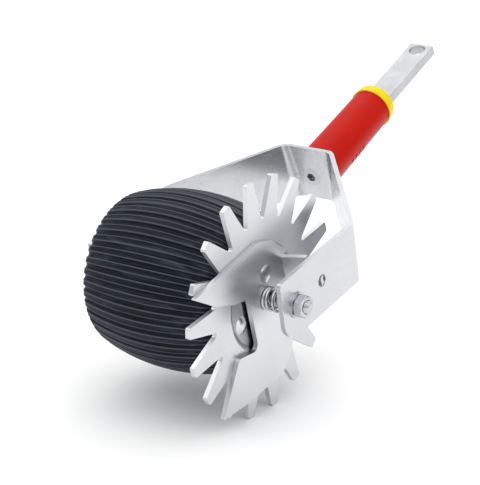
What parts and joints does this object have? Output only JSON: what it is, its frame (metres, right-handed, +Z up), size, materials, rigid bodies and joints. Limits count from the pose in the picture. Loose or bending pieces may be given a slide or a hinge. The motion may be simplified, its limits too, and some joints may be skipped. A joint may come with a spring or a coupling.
{
  "type": "rolling lawn edge trimmer head",
  "caption": "Ribbed rubber roller and star-shaped cutter on one axle, with a sprung counter blade, a bent strap fork, a red grip sleeve and a flat quick-change tongue.",
  "frame": {"origin": "centre of the latch hole in the tongue, halfway through its thickness", "axes": "+X along the axle towards the nut, +Y back towards the handle, +Z up"},
  "size_m": [0.16, 0.375, 0.1688],
  "materials": {
    "zinc_strap": "bright zinc plate on mild steel strap",
    "zinc_blade": "bright zinc plate on hardened sheet steel",
    "zinc_fastener": "bright zinc-plated fastener",
    "rivet_steel": "plain rivet head",
    "spring_steel": "drawn spring wire",
    "plain_steel": "plain steel",
    "bronze": "sintered bronze",
    "black_rubber": "matte black rubber with a faint blue cast",
    "hub_plastic": "black moulded plastic",
    "bearing_plastic": "natural acetal",
    "red_plastic": "red moulded grip, satin gloss",
    "yellow_plastic": "yellow moulded ring, satin gloss",
    "tongue_alloy": "pale satin metal"
  },
  "bodies": {
    "fork": {"fork_bracket": "zinc_strap", "axle_bolt": "zinc_fastener", "axle_nut": "zinc_fastener", "nut_washer": "zinc_fastener", "head_washer": "zinc_fastener", "thrust_washer": "bearing_plastic", "far_spacer": "zinc_fastener", "tongue": "tongue_alloy", "handle_core": "hub_plastic", "tongue_pin": "plain_steel", "grip_sleeve": "red_plastic", "collar_ring": "yellow_plastic", "handle_screw": "zinc_fastener"},
    "roller": {"roller_tyre": "black_rubber", "drum_tube": "plain_steel", "near_hub": "hub_plastic", "far_hub": "hub_plastic", "near_bush": "bronze", "far_bush": "bronze", "star_cutter": "zinc_blade", "star_rivets": "rivet_steel"},
    "blade": {"counter_blade": "zinc_blade", "blade_rivet": "rivet_steel", "pressure_spring": "spring_steel"}
  },
  "joints": [
    {"name": "roller_spin", "type": "hinge", "parent": "fork", "child": "roller", "pos_m": [0.062, -0.29151, -0.08829], "axis": [1, 0, 0], "continuous": true},
    {"name": "blade_slide", "type": "slide", "parent": "fork", "child": "blade", "axis": [1, 0, 0], "range_m": [0, 0.0015], "stiffness_N_per_m": 3000, "springref_m": -0.004, "deforming": ["pressure_spring"]}
  ]
}
